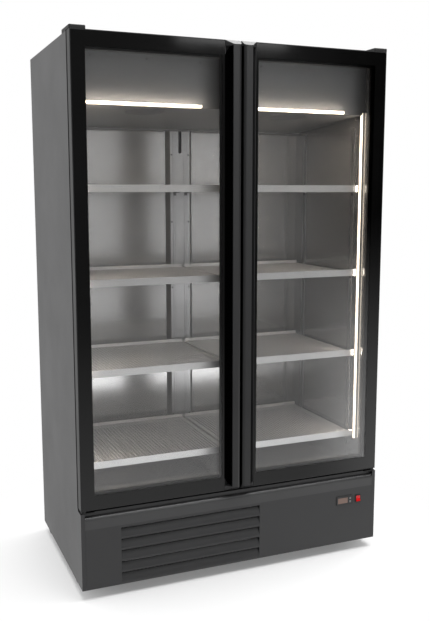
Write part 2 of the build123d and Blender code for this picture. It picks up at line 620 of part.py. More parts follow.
def refrigerant_pipes():
    x, y = COMPRESSOR_PLACE
    low = TRAY_TOP + 60
    shell = x - COMPRESSOR_RADIUS
    coil_end = COIL_X[1] + TUBE_END
    coil_y = (COIL_Y[0] + COIL_Y[1]) / 2
    turn = coil_end + 42
    hot = pipe((shell, y - 10, low), (turn, y - 10, low), (turn, coil_y, low), (coil_end, coil_y, low))
    suction = pipe((shell, y + 20, low + 40), (shell - 58, y + 20, low + 40), (shell - 58, y + 20, DECK - TRAY_SHEET))
    return [hot, suction]


# ---- Cold side ----

def evaporator_cover():
    """Folded sheet under the evaporator: front fascia, sloping underside with two fan grilles, rear lip."""
    sheet = COVER_SHEET
    front = COVER_FRONT
    rear_z = COVER_LOW - COVER_SLOPE
    outline = [(front, CABIN_TOP), (front, COVER_LOW), (COVER_REAR, rear_z), (COVER_REAR, rear_z - 9),
               (COVER_REAR + sheet, rear_z - 9), (COVER_REAR + sheet, rear_z + sheet),
               (front + sheet, COVER_LOW + sheet), (front + sheet, CABIN_TOP)]
    cover = along_x(outline, (-CABIN_SIDE + 1, CABIN_SIDE - 1))
    for x in (-EVAP_FAN_X, EVAP_FAN_X):
        for row in range(-4, 5):
            reach = (EVAP_FAN_RADIUS ** 2 - (row * 15) ** 2) ** 0.5
            cover -= slab((x - reach, x + reach), (EVAP_Y + row * 15 - 4, EVAP_Y + row * 15 + 4),
                          (rear_z, COVER_LOW + 2))
    bar = FACE + LED_SIDE_SET_BACK
    notch = slab((CABIN_SIDE - LED_DEPTH - LED_PROUD - 2, CABIN_SIDE), (front - 1, bar + LED_HEIGHT + 2),
                 (rear_z, COVER_LOW + LED_HEIGHT))
    return cover - both(notch)


def evaporator_coil():
    """Coil hung from the ceiling by its end plates."""
    y = (EVAP_Y + EVAP_FAN_RADIUS + EVAP_COIL_GAP, CABIN_BACK - EVAP_COIL_REAR)
    z = (COVER_LOW + 25, CABIN_TOP - 20)
    coil = finned_block(EVAP_COIL_X, y, z, 4)
    half = END_PLATE / 2
    hangers = [slab((end - half, end + half), y, (z[1], CABIN_TOP)) for end in EVAP_COIL_X]
    return coil + hangers


def led_bars():
    """Aluminium channels and diffusers: one level bar for each door and one upright on each side wall."""
    wall, face = LED_WALL, COVER_FRONT
    z = (COVER_LOW, COVER_LOW + LED_HEIGHT)
    channels, diffusers = [], []
    for start in (-CABIN_SIDE + LED_WALL_GAP, LED_RIGHT_START):
        x = (start, start + LED_LENGTH)
        channel = slab(x, (face - LED_DEPTH, face), z)
        room = slab(x, (face - LED_DEPTH - 1, face - wall), (z[0] + wall, z[1] - wall))
        channels.append(channel - room)
        bar = slab((x[0] + 1, x[1] - 1), (face - LED_DEPTH - LED_PROUD, face - wall), (z[0] + wall, z[1] - wall))
        diffusers.append(fillet(bar.edges().filter_by(Axis.X).sort_by(Axis.Y)[:2], 4))
    y = (FACE + LED_SIDE_SET_BACK, FACE + LED_SIDE_SET_BACK + LED_HEIGHT)
    z = (CABIN_FLOOR + LED_SIDE_FOOT, COVER_LOW + LED_HEIGHT - 2)
    channel = slab((CABIN_SIDE - LED_DEPTH, CABIN_SIDE), y, z)
    room = slab((CABIN_SIDE - LED_DEPTH - 1, CABIN_SIDE - wall), (y[0] + wall, y[1] - wall), z)
    bar = slab((CABIN_SIDE - LED_DEPTH - LED_PROUD, CABIN_SIDE - wall), (y[0] + wall, y[1] - wall), (z[0] + 1, z[1] - 1))
    bar = fillet(bar.edges().filter_by(Axis.Z).sort_by(Axis.X)[:2], 4)
    return channels + both(channel - room), diffusers + both(bar)


# ---- Shelving ----

def slotted_strip(width, length, thickness):
    """Upright steel strip with a row of slots, lying flat on XY with its length along Y."""
    count = int(length / SLOT_PITCH) - 1
    slots = GridLocations(1, SLOT_PITCH, 1, count) * Rectangle(4, 12)
    return extrude(Rectangle(width, length) - slots, thickness)


def upright(strip, x, y, turn):
    """Stand a strip up at a place, turned about Z so that its back meets the wall there."""
    middle = (UPRIGHT[0] + UPRIGHT[1]) / 2
    return Pos(x, y, middle) * Rot(0, 0, turn) * Rot(90, 0, 0) * strip


def shelf_standards():
    """Centre pilaster, two strips on it, two behind the mullion and two on each side wall."""
    base_y, face_y = CABIN_BACK, CABIN_BACK - PILASTER_DEPTH
    wide, narrow, sheet = PILASTER_BASE, PILASTER_FACE, STANDARD_SHEET
    outline = Polyline((-wide, base_y), (-narrow, face_y), (narrow, face_y), (wide, base_y),
                       (wide - 3, base_y), (narrow - 2, face_y + sheet), (-narrow + 2, face_y + sheet),
                       (-wide + 3, base_y), close=True)
    pilaster = Pos(0, 0, CABIN_FLOOR) * extrude(make_face(outline), PILASTER_TOP - CABIN_FLOOR)
    low, high = COVER_LOW - COVER_SLOPE - 100, COVER_LOW
    pilaster -= slab((-8, 8), (face_y - 1, face_y + 4), (low + 8, high))
    pilaster -= rod(8, (0, face_y - 1, low + 8), (0, face_y + 4, low + 8))
    length = UPRIGHT[1] - UPRIGHT[0]
    strip = slotted_strip(STANDARD_WIDTH, length, STANDARD_SHEET)
    slim = slotted_strip(CLIP_WIDTH + 2, length, STANDARD_SHEET)
    strips = []
    for sign in (-1, 1):
        strips.append(upright(slim, sign * (STANDARD_X + 2), face_y, 0))
        strips.append(upright(slim, sign * STANDARD_X, FACE + MULLION_DEPTH + STANDARD_SHEET, 0))
        for y in SIDE_STANDARDS_Y:
            strips.append(upright(strip, sign * CABIN_SIDE, y, -sign * 90))
    return [pilaster] + strips


def shelf(z, sign):
    """Inverted tray of perforated steel with a raised front edge; the holes are left to the finish."""
    x = sorted((sign * SHELF_CENTRE_GAP, sign * (CABIN_SIDE - SHELF_SIDE_GAP)))
    y, sheet = SHELF_Y, SHELF_SHEET
    tray = slab(x, y, (z - SHELF_SKIRT, z))
    tray -= slab((x[0] + sheet, x[1] - sheet), (y[0] + sheet, y[1] - sheet), (z - SHELF_SKIRT - 1, z - sheet))
    lip = slab(x, (y[0], y[0] + sheet), (z, z + SHELF_SKIRT))
    back_stop = slab(x, (y[1] - sheet, y[1]), (z, z + SHELF_SKIRT))
    return tray + lip + back_stop


def clips():
    """Four clips under each shelf: pilaster, mullion and the two standards on the side wall."""
    thick, half = CLIP_THICKNESS, CLIP_WIDTH / 2
    face_y = CABIN_BACK - PILASTER_DEPTH - STANDARD_SHEET
    post_y = FACE + MULLION_DEPTH + STANDARD_SHEET
    front, rear = SHELF_Y
    wall = CABIN_SIDE - STANDARD_SHEET
    edge = CABIN_SIDE - SHELF_SIDE_GAP
    out = []
    for height in SHELF_HEIGHTS:
        z = (height - SHELF_SKIRT - thick, height - SHELF_SKIRT)
        hook = (z[0] - 12, z[1])
        x = (STANDARD_X + 2 - half, STANDARD_X + 2 + half)
        out += both(slab(x, (rear - 25, face_y), z) + slab(x, (face_y - thick, face_y), hook))
        x = (STANDARD_X - half, STANDARD_X + half)
        out += both(slab(x, (post_y, front + 20), z) + slab(x, (post_y, post_y + thick), hook))
        for y in SIDE_STANDARDS_Y:
            span = (y - half, y + half)
            out += both(slab((edge - 20, wall), span, z) + slab((wall - thick, wall), span, hook))
    return out


# ---- Doors (left one; mirrored for the right) ----

def door_frame():
    """Two stiles and two rails of aluminium section, butted together, with bores for the hinge pins."""
    y = (FRONT, FRONT + DOOR_THICKNESS)
    z = (DOOR_BOTTOM, DOOR_TOP)
    glass_room = slab((DOOR_EDGE + FRAME_LIP, DOOR_MEET + 1), (FRONT - 1, FRONT + GLASS),
                      (z[0] + FRAME_LIP, z[1] - FRAME_LIP))
    hinge_stile = slab((DOOR_EDGE, DOOR_EDGE + RAIL), y, z)
    outer_edges = hinge_stile.edges().filter_by(Axis.Z).sort_by(Axis.X)[:2].sort_by(Axis.Y)[:1]
    hinge_stile = fillet(outer_edges, LIP_RADIUS) - glass_room
    for low, high in ((z[0] - 1, z[0] + PIN_REACH + 2), (z[1] - PIN_REACH - 2, z[1] + 1)):
        hinge_stile -= rod(PIN_RADIUS + PIN_CLEARANCE, (PIN_X, PIN_Y, low), (PIN_X, PIN_Y, high))
    meeting_stile = slab((DOOR_MEET - MEETING_STILE, DOOR_MEET), (FRONT + POCKET_DEPTH + POCKET_WALL, y[1]), z)
    x = (DOOR_EDGE + RAIL, DOOR_MEET - MEETING_STILE)
    sill = slab(x, y, (z[0], z[0] + RAIL)) - glass_room
    head = slab(x, y, (z[1] - RAIL, z[1])) - glass_room
    return [hinge_stile, meeting_stile, sill, head]


def outer_pane():
    lip = FRAME_LIP + PANE_CLEARANCE
    x = (DOOR_EDGE + lip, DOOR_MEET - HANDLE_WIDTH - 1)
    return slab(x, (FRONT, FRONT + GLASS), (DOOR_BOTTOM + lip, DOOR_TOP - lip))


def inner_pane():
    """Second pane with the spacer bar that holds it off the outer one."""
    x = (DOOR_EDGE + RAIL, DOOR_MEET - MEETING_STILE)
    z = (DOOR_BOTTOM + RAIL, DOOR_TOP - RAIL)
    spacer = ring(x, z, (FRONT + GLASS, FRONT + GLASS + SPACER_DEPTH), SPACER_WIDTH)
    gap = PANE_CLEARANCE
    y = FRONT + GLASS + SPACER_DEPTH
    pane = slab((x[0] + gap, x[1] - gap), (y, y + GLASS), (z[0] + gap, z[1] - gap))
    return [spacer, pane]


def gasket():
    x = (DOOR_EDGE + GASKET_INSET, DOOR_MEET - 6)
    z = (DOOR_BOTTOM + GASKET_INSET, DOOR_TOP - GASKET_INSET)
    y = (FRONT + DOOR_THICKNESS, FACE - GASKET_SLACK)
    return ring(x, z, y, GASKET_WIDTH)


def handle():
    """Full-height pull: a front plate on a stem beside a finger pocket, closed by a solid cap at each end."""
    right, left = DOOR_MEET, DOOR_MEET - HANDLE_WIDTH
    tip = FRONT - HANDLE_PROUD
    bed = FRONT + POCKET_DEPTH
    bar = make_face(Polyline(
        (right, bed + POCKET_WALL), (right, tip), (right - GRIP_WIDTH, tip), (right - GRIP_WIDTH, tip + GRIP_PLATE),
        (right - GRIP_STEM, tip + GRIP_PLATE), (right - GRIP_STEM, bed), (left + POCKET_SLOPE, bed),
        (left + POCKET_WALL, FRONT), (left, FRONT), (left, bed + POCKET_WALL), close=True))
    nose = bar.vertices().sort_by_distance((right, tip, 0))[0]
    bar = fillet(nose, GRIP_RADIUS)
    pull = Pos(0, 0, DOOR_BOTTOM + CAP_HEIGHT) * extrude(bar, DOOR_TOP - DOOR_BOTTOM - 2 * CAP_HEIGHT)
    solid = make_face(Polyline((right, bed + POCKET_WALL), (right, tip), (right - GRIP_WIDTH, tip), (left, FRONT),
                               (left, bed + POCKET_WALL), close=True))
    nose = solid.vertices().sort_by_distance((right, tip, 0))[0]
    end = extrude(fillet(nose, GRIP_RADIUS), CAP_HEIGHT)
    end -= along_x([(tip - 1, -1), (FRONT, -1), (FRONT, 0), (tip - 1, CAP_HEIGHT * 0.8)], (left - 1, right + 1))
    low_cap = Pos(0, 0, DOOR_BOTTOM) * end
    high_cap = Pos(0, 0, DOOR_TOP) * mirror(end, Plane.XY)
    return [pull, low_cap, high_cap]


def top_hinge():
    """Steel plate on the cabinet roof that reaches over the door, with the pin below it."""
    under = DOOR_TOP + HINGE_LIFT
    x = (PIN_X - HINGE_EDGE, PIN_X - HINGE_EDGE + HINGE_WIDTH)
    plate = slab(x, (FRONT + 2, FACE + HINGE_TAIL), (under, under + HINGE_SHEET))
    pad = slab(x, (FACE + 1, FACE + HINGE_TAIL), (TOP, under))
    return plate + pad + rod(PIN_RADIUS, (PIN_X, PIN_Y, under), (PIN_X, PIN_Y, DOOR_TOP - PIN_REACH))


def hinge_cover():
    """Plastic cap over the top hinge plate."""
    plate_end = PIN_X - HINGE_EDGE + HINGE_WIDTH
    x = (-SIDE, plate_end + 5.5)
    y = (FRONT + 0.5, FACE + HINGE_TAIL + 3)
    under = DOOR_TOP + HINGE_LIFT
    crown = under + HINGE_CAP
    cap = slab(x, y, (under, crown)) + slab(x, (FACE + 0.5, y[1]), (TOP, under))
    cap = fillet(cap.edges().filter_by(Axis.Z), 4)
    cap = fillet(cap.faces().sort_by(Axis.Z)[-1].edges(), 3)
    room = slab((PIN_X - HINGE_EDGE - 0.5, x[1] - 2), (y[0] + 1.3, y[1] - 2), (TOP - 1, crown - 2))
    return cap - room


def bottom_hinge():
    """Bracket on the deck with a collar and a pin that carry the door."""
    x = (PIN_X - HINGE_EDGE, PIN_X - HINGE_EDGE + HINGE_WIDTH)
    top = DECK + HINGE_SHEET
    plate = slab(x, (FRONT + 1, FACE - 0.5), (DECK, top))
    collar = rod(PIN_RADIUS + COLLAR_WALL, (PIN_X, PIN_Y, top), (PIN_X, PIN_Y, DOOR_BOTTOM - 0.3))
    return plate + collar + rod(PIN_RADIUS, (PIN_X, PIN_Y, top), (PIN_X, PIN_Y, DOOR_BOTTOM + PIN_REACH))


# ---- Small pieces ----

def cable_gland():
    """Bush in the back panel with a through bore for the supply cable."""
    y = (BACK - GLAND_LENGTH, BACK)
    gland = rod(GLAND_HOLE - 0.2, (GLAND_X, y[0], GLAND_Z), (GLAND_X, y[1], GLAND_Z))
    gland += rod(GLAND_HOLE + 4, (GLAND_X, y[0], GLAND_Z), (GLAND_X, BACK - SKIN, GLAND_Z))
    return gland - rod(GLAND_BORE, (GLAND_X, y[0] - 1, GLAND_Z), (GLAND_X, y[1] + 1, GLAND_Z))


def screw_head(x, y, z):
    """Domed head on a wall that faces forward."""
    dome = Pos(x, y, z) * Rot(90, 0, 0) * extrude(Circle(SCREW_RADIUS), SCREW_RADIUS / 2)
    return fillet(dome.edges().sort_by(Axis.Y)[0], 1.2)


def cabinet_screws():
    face_y = CABIN_BACK - PILASTER_DEPTH
    first, last = CABIN_FLOOR + 90, PILASTER_TOP - 126
    heights = [first + (last - first) * row / (SCREW_ROWS - 1) for row in range(SCREW_ROWS)]
    x = STANDARD_X + CLIP_WIDTH / 2 + 9
    pilaster = [screw_head(sign * x, face_y, z) for z in heights for sign in (-1, 1)]
    across = [CABIN_SIDE - inset for inset in (52, 252, 452)]
    fascia = [screw_head(sign * x, COVER_FRONT, CABIN_TOP - 14) for x in across for sign in (-1, 1)]
    return pilaster + fascia


# Places that several pieces share.
CONTROLLER_X = SIDE - CONTROLLER_INSET
ROCKER_X = SIDE - ROCKER_INSET
CONTROL_Z = TRIM_BOTTOM - CONTROLLER_DROP
ROCKER_PIVOT_Y = FRONT + 1.5
LENS_X = (CONTROLLER_X - 32, CONTROLLER_X + 14)
LENS_Z = (CONTROL_Z - 12, CONTROL_Z + 12)
KEY_X = CONTROLLER_X + 25
KEYS = (("up_key", CONTROL_Z + 7), ("down_key", CONTROL_Z - 7))
GLAND_X, GLAND_Z = SIDE - GLAND_INSET, BASE + GLAND_LIFT
COMPRESSOR_PLACE = (SIDE - COMPRESSOR_INSET, BACK - COMPRESSOR_REAR)
TUBE_END = 8.0
FAN_X = -SIDE + COND_FAN_INSET
COIL_X = (FAN_X - COIL_HALF, FAN_X + COIL_HALF)
COIL_FRONT = FRONT + COVER_FOOT + TRAY_SHEET + 8
COIL_Y = (COIL_FRONT, COIL_FRONT + COIL_DEPTH)
SHROUD_X = (FAN_X - SHROUD_HALF, FAN_X + SHROUD_HALF)
SHROUD_FRONT = COIL_Y[1] + END_PLATE_MARGIN + 0.5
SHROUD_Y = (SHROUD_FRONT, SHROUD_FRONT + SHROUD_DEPTH)
FAN_Y, FAN_Z = SHROUD_Y[1] + 12, (TRAY_TOP + SHROUD_TOP) / 2
EVAP_Y, EVAP_Z = COVER_FRONT + EVAP_FAN_BACK, COVER_LOW + EVAP_FAN_LIFT
SIDE_STANDARDS_Y = (SHELF_Y[0] + 63, SHELF_Y[1] - 40)

channels, diffusers = led_bars()
SINGLES = {
    "back_panel": [back_panel()],
    "top_panel": [top_panel()],
    "foam_insulation": foam_slabs(),
    "inner_liner": [inner_liner()],
    "breaker_frame": breaker_frame(),
    "centre_mullion": [centre_mullion()],
    "base_frame": base_frame(),
    "front_cover": [front_cover()],
    "cover_trim": [cover_trim()],
    "controller": controller(),
    "rocker_bezel": [rocker_bezel()],
    "power_rocker": [rocker()],
    "levelling_feet": [levelling_foot(x, y) for x, y in foot_places()],
    "roller_brackets": [roller_bracket(x, y, z) for _, x, y, z in roller_places()],
    "compressor": compressor(),
    "condenser_coil": [condenser_coil()],
    "fan_shroud": [fan_shroud()],
    "fan_motors": fan_motors(),
    "condenser_fan": [condenser_fan()],
    "left_evaporator_fan": [evaporator_fan(-EVAP_FAN_X)],
    "right_evaporator_fan": [evaporator_fan(EVAP_FAN_X)],
    "evaporation_tray": [evaporation_tray()],
    "refrigerant_pipes": refrigerant_pipes(),
    "evaporator_cover": [evaporator_cover()],
    "evaporator_coil": [evaporator_coil()],
    "led_channels": channels,
    "led_diffusers": diffusers,
    "shelf_standards": shelf_standards(),
    "shelf_clips": clips(),
    "top_hinges": both(top_hinge()),
    "hinge_covers": both(hinge_cover()),
    "bottom_hinges": both(bottom_hinge()),
    "cable_gland": [cable_gland()],
    "cabinet_screws": cabinet_screws(),
}
PAIRS = {
    "side_panel": [side_panel()],
    "door_frame": door_frame(),
    "outer_pane": [outer_pane()],
    "inner_pane": inner_pane(),
    "gasket": [gasket()],
    "handle": handle(),
}

for name, solids in SINGLES.items():
    write(name, *solids)
for name, solids in PAIRS.items():
    write(f"left_{name}", *solids)
    write(f"right_{name}", *[mirrored(solid) for solid in solids])
for name, x, y, z in roller_places():
    write(name, roller(x, y, z))
for name, z in KEYS:
    write(name, key(z))
for level, height in enumerate(SHELF_HEIGHTS, start=1):
    write(f"left_shelf_{level}", shelf(height, -1))
    write(f"right_shelf_{level}", shelf(height, 1))
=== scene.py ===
from math import radians

import bpy
from mathutils import Euler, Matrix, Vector


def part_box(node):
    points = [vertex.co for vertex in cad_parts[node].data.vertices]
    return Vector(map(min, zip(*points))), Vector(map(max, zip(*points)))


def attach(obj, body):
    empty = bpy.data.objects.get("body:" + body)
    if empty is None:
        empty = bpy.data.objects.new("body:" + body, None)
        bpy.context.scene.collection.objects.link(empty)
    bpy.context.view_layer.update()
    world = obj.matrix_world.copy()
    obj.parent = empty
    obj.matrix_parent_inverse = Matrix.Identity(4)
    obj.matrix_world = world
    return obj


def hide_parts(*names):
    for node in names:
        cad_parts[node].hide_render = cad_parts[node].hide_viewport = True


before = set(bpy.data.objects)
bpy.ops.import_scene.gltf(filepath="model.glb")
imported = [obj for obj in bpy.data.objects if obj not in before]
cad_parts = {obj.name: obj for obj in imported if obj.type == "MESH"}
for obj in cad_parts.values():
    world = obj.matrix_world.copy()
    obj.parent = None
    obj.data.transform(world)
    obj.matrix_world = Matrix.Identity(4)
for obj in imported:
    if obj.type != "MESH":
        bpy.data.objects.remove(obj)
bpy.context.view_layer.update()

# The studio: a pale floor that runs out to white and a white surround that is dim ahead of the
# doors. Softboxes stand to the left, overhead and at the front right, and two more, one of them
# below the floor, light only what is in the cabin.


def add(tree, kind, values=None, **settings):
    """A node with its settings; an input takes a value or another node's output."""
    node = tree.nodes.new(kind)
    for name, value in settings.items():
        setattr(node, name, value)
    for name, value in (values or {}).items():
        if isinstance(value, bpy.types.NodeSocket):
            tree.links.new(value, node.inputs[name])
        else:
            node.inputs[name].default_value = value
    return node


def blank_material(name):
    material = bpy.data.materials.new(name)
    material.use_nodes = True
    material.node_tree.nodes.clear()
    return material


view = bpy.data.cameras.new("view")
view.lens = 47.38
view.sensor_width = 36.0
camera = bpy.data.objects.new("view", view)
camera.location = (-1.2313, -3.0414, 1.4498)
camera.rotation_euler = Euler((radians(81.74), 0.0, radians(-22.70)))
bpy.context.collection.objects.link(camera)
bpy.context.scene.camera = camera
bpy.context.scene.view_settings.view_transform = "Standard"


def softbox(name, place, aim, size, power, warmth=(1.0, 1.0, 1.0)):
    """Rectangular lamp at a place, turned to face another; the camera doesn't see it."""
    lamp = bpy.data.lights.new(name, "AREA")
    lamp.shape = "RECTANGLE"
    lamp.size, lamp.size_y = size
    lamp.energy = power
    lamp.color = warmth
    body = bpy.data.objects.new(name, lamp)
    body.location = place
    body.rotation_euler = (Vector(aim) - body.location).to_track_quat("-Z", "Y").to_euler()
    body.visible_camera = False
    bpy.context.collection.objects.link(body)
    return body


def light_only(lamp, name, pieces):
    """Keep a lamp to the given pieces, as flags and gobos do."""
    group = bpy.data.collections.new(name)
    for piece in pieces:
        group.objects.link(piece)
    lamp.light_linking.receiver_collection = group


GLASS = [f"{side}_{pane}_pane" for side in ("left", "right") for pane in ("outer", "inner")]
CABIN = ("inner_liner", "evaporator_cover", "shelf_standards", "centre_mullion", "shelf_clips",
         "cabinet_screws")
softbox("left_softbox", (-3.6, 0.6, 1.9), (-0.6, 0.1, 1.0), (2.4, 2.8), 12.0)
softbox("overhead_softbox", (0.8, -0.4, 4.6), (0.8, -0.4, 0.0), (5.4, 4.2), 400.0)
front_lamp = softbox("front_softbox", (1.35, -4.4, 1.65), (0.1, 0.0, 1.45), (1.5, 1.9), 9.0)
softbox("upper_softbox", (2.08, -4.5, 4.12), (2.08, 0.0, 2.0), (1.15, 2.8), 26.0)
light_only(front_lamp, "all_but_glass", [
    piece for name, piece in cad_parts.items() if name not in GLASS])
cabin_lamp = softbox("cabin_softbox", (0.8, -3.4, 1.45), (0.8, 0.0, 1.45), (4.4, 2.9), 64.0)
low_lamp = softbox("low_cabin_softbox", (0.8, -3.4, -1.2), (0.8, 0.0, -1.2), (4.4, 2.4), 240.0)
for lamp in (cabin_lamp, low_lamp):
    light_only(lamp, f"{lamp.name}_pieces", [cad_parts[name] for name in CABIN])
blockers = bpy.data.collections.new("low_lamp_blockers")
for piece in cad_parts.values():
    blockers.objects.link(piece)
low_lamp.light_linking.blocker_collection = blockers

surround = bpy.data.worlds.new("surround")
surround.use_nodes = True
bpy.context.scene.world = surround
tree = surround.node_tree
tree.nodes.clear()
direction = add(tree, "ShaderNodeTexCoord")
parts = add(tree, "ShaderNodeSeparateXYZ", {0: direction.outputs["Generated"]})


def ramp(source, start, stop, first, last):
    """Smooth step of a value from one level to another."""
    return add(tree, "ShaderNodeMapRange", {
        "Value": source, "From Min": start, "From Max": stop, "To Min": first, "To Max": last},
        interpolation_type="SMOOTHSTEP").outputs["Result"]


def between(factor, low, high):
    return add(tree, "ShaderNodeMix", {"Factor": factor, 2: low, 3: high}, data_type="FLOAT").outputs[0]


ahead = between(ramp(parts.outputs["X"], 0.46, 0.55, 0.0, 1.0),
                ramp(parts.outputs["Z"], -0.40, -0.12, 0.74, 0.12),
                ramp(parts.outputs["Z"], -0.36, -0.02, 1.50, 0.00))
lit = between(ramp(parts.outputs["Y"], -0.55, 0.25, 0.0, 1.0), ahead, 0.78)
path = add(tree, "ShaderNodeLightPath")
level = between(path.outputs["Is Camera Ray"], lit, 1.0)
glow = add(tree, "ShaderNodeBackground", {"Color": (1.0, 1.0, 1.0, 1.0), "Strength": level})
add(tree, "ShaderNodeOutputWorld", {"Surface": glow.outputs["Background"]})

FLOOR_HALF = 40.0
SHADED, BRIGHT = 0.50, 1.10       # the lit floor turns plain white between these distances
floor_mesh = bpy.data.meshes.new("floor")
floor_mesh.from_pydata([(-FLOOR_HALF, -FLOOR_HALF, 0), (FLOOR_HALF, -FLOOR_HALF, 0),
                        (FLOOR_HALF, FLOOR_HALF, 0), (-FLOOR_HALF, FLOOR_HALF, 0)], [], [(0, 1, 2, 3)])
floor = bpy.data.objects.new("floor", floor_mesh)
bpy.context.collection.objects.link(floor)
floor.visible_glossy = False
pale = blank_material("pale_floor")
tree = pale.node_tree
place = add(tree, "ShaderNodeTexCoord")
reach = add(tree, "ShaderNodeVectorMath", {0: place.outputs["Object"]}, operation="LENGTH")
far = add(tree, "ShaderNodeMapRange", {
    "Value": reach.outputs["Value"], "From Min": SHADED, "From Max": BRIGHT, "To Min": 0.18,
    "To Max": 1.0},
    interpolation_type="SMOOTHSTEP")
matt = add(tree, "ShaderNodeBsdfDiffuse", {"Color": (0.86, 0.86, 0.86, 1.0)})
white = add(tree, "ShaderNodeEmission", {"Color": (1.0, 1.0, 1.0, 1.0), "Strength": 1.0})
blend = add(tree, "ShaderNodeMixShader", {0: far.outputs["Result"], 1: matt.outputs[0], 2: white.outputs[0]})
add(tree, "ShaderNodeOutputMaterial", {"Surface": blend.outputs[0]})
floor_mesh.materials.append(pale)

# Painted steel: the two side sheets, roof, back sheet, machine-bay cover and base tray are folded
# from cold-rolled sheet and powder coated charcoal, which leaves a faint orange-peel skin.


def new_group(name, kind, inputs, outputs):
    """An empty node group with named sockets, and its input and output nodes."""
    tree = bpy.data.node_groups.new(name, kind)
    for label, sort, value in inputs:
        socket = tree.interface.new_socket(label, in_out="INPUT", socket_type=sort)
        if value is not None:
            socket.default_value = value
    for label, sort in outputs:
        tree.interface.new_socket(label, in_out="OUTPUT", socket_type=sort)
    return tree, tree.nodes.new("NodeGroupInput").outputs, tree.nodes.new("NodeGroupOutput")


def link_out(tree, end, results):
    for name, source in results.items():
        tree.links.new(source, end.inputs[name])


def build_grain():
    """Two-tone colour, roughness and height from a broad cloud and a fine grain that may be stretched."""
    tree, given, end = new_group("surface_grain", "ShaderNodeTree", [
        ("Vector", "NodeSocketVector", None), ("Dark", "NodeSocketColor", (0.03, 0.03, 0.03, 1)),
        ("Light", "NodeSocketColor", (0.04, 0.04, 0.04, 1)), ("Smooth", "NodeSocketFloat", 0.3),
        ("Rough", "NodeSocketFloat", 0.5), ("Grain", "NodeSocketFloat", 600.0),
        ("Stretch", "NodeSocketVector", (1.0, 1.0, 1.0)), ("Cloud", "NodeSocketFloat", 4.0)],
        [("Colour", "NodeSocketColor"), ("Roughness", "NodeSocketFloat"), ("Height", "NodeSocketFloat")])
    cloud = add(tree, "ShaderNodeTexNoise", {
        "Vector": given["Vector"], "Scale": given["Cloud"], "Detail": 3.0, "Roughness": 0.55})
    drawn = add(tree, "ShaderNodeVectorMath", {0: given["Vector"], 1: given["Stretch"]}, operation="MULTIPLY")
    fine = add(tree, "ShaderNodeTexNoise", {
        "Vector": drawn.outputs["Vector"], "Scale": given["Grain"], "Detail": 2.0, "Roughness": 0.6})
    both = add(tree, "ShaderNodeMix", {"Factor": 0.45, 2: cloud.outputs["Fac"], 3: fine.outputs["Fac"]},
               data_type="FLOAT")
    tone = add(tree, "ShaderNodeMapRange", {"Value": both.outputs[0], "From Min": 0.36, "From Max": 0.64})
    colour = add(tree, "ShaderNodeMix", {
        "Factor": tone.outputs["Result"], 6: given["Dark"], 7: given["Light"]}, data_type="RGBA")
    rough = add(tree, "ShaderNodeMapRange", {
        "Value": both.outputs[0], "From Min": 0.36, "From Max": 0.64,
        "To Min": given["Smooth"], "To Max": given["Rough"]})
    link_out(tree, end, {"Colour": colour.outputs[2], "Roughness": rough.outputs["Result"],
                         "Height": fine.outputs["Fac"]})
    return tree


grain = build_grain()


def finish(name, dark, light, rough, metallic=0.0, bump=0.15, relief=0.0002, scale=600.0,
           stretch=(1.0, 1.0, 1.0), cloud=4.0, **extra):
    """A surface whose colour, roughness and skin vary; extra names set sockets of the shader."""
    material = blank_material(name)
    tree = material.node_tree
    place = add(tree, "ShaderNodeTexCoord")
    skin = add(tree, "ShaderNodeGroup", node_tree=grain)
    tree.links.new(place.outputs["Object"], skin.inputs["Vector"])
    for label, value in (("Dark", (*dark, 1.0)), ("Light", (*light, 1.0)), ("Smooth", rough[0]),
                         ("Rough", rough[1]), ("Grain", scale), ("Stretch", stretch), ("Cloud", cloud)):
        skin.inputs[label].default_value = value
    lift = add(tree, "ShaderNodeBump", {
        "Strength": bump, "Distance": relief, "Height": skin.outputs["Height"]})
    shader = add(tree, "ShaderNodeBsdfPrincipled", {
        "Base Color": skin.outputs["Colour"], "Roughness": skin.outputs["Roughness"],
        "Metallic": metallic, "Normal": lift.outputs["Normal"]})
    for label, value in extra.items():
        shader.inputs[label.replace("_", " ")].default_value = value
    add(tree, "ShaderNodeOutputMaterial", {"Surface": shader.outputs["BSDF"]})
    return material


def dress(material, *names):
    """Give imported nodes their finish."""
    for name in names:
        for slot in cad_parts[name].material_slots:
            slot.material = material


charcoal_paint = finish("charcoal_paint", (0.030, 0.030, 0.031), (0.036, 0.036, 0.037), (0.38, 0.46),
                        bump=0.12, scale=420.0)
dress(charcoal_paint, "left_side_panel", "right_side_panel", "back_panel", "top_panel",
      "front_cover", "base_frame")
trim_paint = finish("trim_paint", (0.046, 0.046, 0.047), (0.054, 0.054, 0.055), (0.28, 0.36), scale=420.0)
dress(trim_paint, "cover_trim")

# Insulation: rigid polyurethane foam poured between skin and liner, closed at the front by a
# black extruded breaker frame and a black post between the doors.
foam = finish("cream_foam", (0.55, 0.46, 0.26), (0.72, 0.62, 0.38), (0.8, 0.95), bump=0.6, relief=0.001,
              scale=180.0)
dress(foam, "foam_insulation")
black_plastic = finish("black_plastic", (0.012, 0.012, 0.012), (0.018, 0.018, 0.018), (0.42, 0.55),
                       scale=900.0)
dress(black_plastic, "breaker_frame", "rocker_bezel", "cable_gland", "fan_shroud",
      "condenser_fan", "left_evaporator_fan", "right_evaporator_fan", "evaporation_tray")
soft_black = finish("soft_black", (0.003, 0.003, 0.003), (0.006, 0.006, 0.006), (0.50, 0.62), scale=900.0)
dress(soft_black, "hinge_covers", "bottom_hinges")
mullion_plastic = finish("mullion_plastic", (0.030, 0.030, 0.030), (0.040, 0.040, 0.040), (0.40, 0.50),
                         scale=900.0)
dress(mullion_plastic, "centre_mullion")

